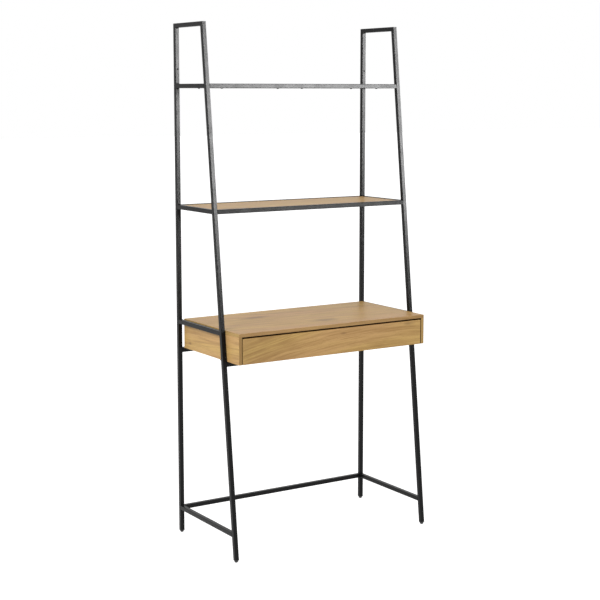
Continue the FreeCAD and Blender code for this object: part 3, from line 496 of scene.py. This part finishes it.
def background_rays(tree):
    """1 for the rays that show the background: camera, glossy and transmission rays."""
    path = tree.nodes.new("ShaderNodeLightPath")
    seen = path.outputs["Is Camera Ray"]
    for name in ("Is Glossy Ray", "Is Transmission Ray"):
        either = tree.nodes.new("ShaderNodeMath")
        either.operation = "MAXIMUM"
        tree.links.new(seen, either.inputs[0])
        tree.links.new(path.outputs[name], either.inputs[1])
        seen = either.outputs[0]
    return seen


def white_background(tree, lit, output_socket):
    """Adds the glow that brings the lit floor to paper white, and that gives no light to what is matt.

    It is weaker round the desk, where the lamps light the floor and the desk's shadow falls.
    """
    place = tree.nodes.new("ShaderNodeTexCoord")
    away = tree.nodes.new("ShaderNodeVectorMath")
    away.operation = "LENGTH"
    strength = tree.nodes.new("ShaderNodeMapRange")
    for socket, value in ((1, NEAR_REACH), (2, FAR_REACH), (3, NEAR_GLOW), (4, FAR_GLOW)):
        strength.inputs[socket].default_value = value
    glow = tree.nodes.new("ShaderNodeEmission")
    total = tree.nodes.new("ShaderNodeAddShader")
    choice = tree.nodes.new("ShaderNodeMixShader")
    tree.links.new(place.outputs["Object"], away.inputs[0])
    tree.links.new(away.outputs["Value"], strength.inputs[0])
    tree.links.new(strength.outputs[0], glow.inputs["Strength"])
    tree.links.new(lit, total.inputs[0])
    tree.links.new(glow.outputs[0], total.inputs[1])
    tree.links.new(background_rays(tree), choice.inputs[0])
    tree.links.new(lit, choice.inputs[1])
    tree.links.new(total.outputs[0], choice.inputs[2])
    tree.links.new(choice.outputs[0], output_socket)


def floor():
    """Pale floor that keeps the desk's shadow."""
    mesh = bmesh.new()
    bmesh.ops.create_grid(mesh, x_segments=FLOOR_SEGMENTS, y_segments=FLOOR_SEGMENTS, size=FLOOR_HALF)
    data = bpy.data.meshes.new("floor")
    mesh.to_mesh(data)
    mesh.free()
    material = bpy.data.materials.new("pale_floor")
    material.use_nodes = True
    tree = material.node_tree
    shader = tree.nodes["Principled BSDF"]
    shader.inputs["Base Color"].default_value = (*FLOOR_GREY, 1.0)
    shader.inputs["Roughness"].default_value = FLOOR_ROUGHNESS
    shader.inputs["Specular IOR Level"].default_value = FLOOR_GLOSS
    white_background(tree, shader.outputs[0], tree.nodes["Material Output"].inputs["Surface"])
    data.materials.append(material)
    plane = bpy.data.objects.new("floor", data)
    bpy.context.scene.collection.objects.link(plane)


def surroundings():
    """World: paper white where it is seen, directly or in a reflection, and softer as a light."""
    world = bpy.data.worlds.new("studio")
    world.use_nodes = True
    tree = world.node_tree
    background = tree.nodes["Background"]
    background.inputs["Color"].default_value = (*WHITE, 1.0)
    strength = tree.nodes.new("ShaderNodeMix")  # of numbers, at its sockets 2 and 3
    strength.inputs[2].default_value = AMBIENT
    strength.inputs[3].default_value = 1.0
    tree.links.new(background_rays(tree), strength.inputs[0])
    tree.links.new(strength.outputs[0], background.inputs["Strength"])
    bpy.context.scene.world = world


def lamps():
    """Two fills for everything, and lamps for the frame alone that give its front faces their sheen."""
    uprights = [NODES[f"{side}_{row}_upright"] for side in ("left", "right") for row in ("front", "rear")]
    key = light("key", (FRAME_LAMP_X, FRAME_LAMP_Y, 1.84), (0.17, FRAME_Y, 1.60), width=FRAME_LAMP_WIDTH,
                height=1.10, power=16, spread=38)
    light_only(key, uprights)
    for level, level_z, power in (("upper", 1.42, 175), ("middle", 1.02, 32)):
        # it lies below the rails' top faces, so that only their front faces catch it
        strip = light(f"{level}_rail_strip", (FRAME_LAMP_X, FRAME_LAMP_Y, level_z), (0.0, FRAME_Y, level_z),
                      width=FRAME_LAMP_WIDTH, height=0.30, power=power)
        light_only(strip, [NODES[f"{level}_shelf_{row}_rail"] for row in ("front", "rear")])
    light("left_fill", (-3.7, -1.5, 3.0), FILL_TARGET, width=2.0, height=2.0, power=134)
    light("right_fill", (1.5, -2.6, 3.2), FILL_TARGET, width=1.6, height=1.6, power=49)


def camera():
    """Camera at the photograph's place."""
    data = bpy.data.cameras.new("camera")
    data.sensor_width = CAMERA_SENSOR
    data.lens = CAMERA_LENS
    data.shift_y = CAMERA_SHIFT
    eye = bpy.data.objects.new("camera", data)
    eye.location = CAMERA_PLACE
    eye.rotation_euler = (math.radians(90 - CAMERA_PITCH), 0, math.radians(-CAMERA_YAW))
    bpy.context.scene.collection.objects.link(eye)
    bpy.context.scene.camera = eye


floor()
surroundings()
lamps()
camera()
bpy.context.scene.view_settings.view_transform = "Standard"
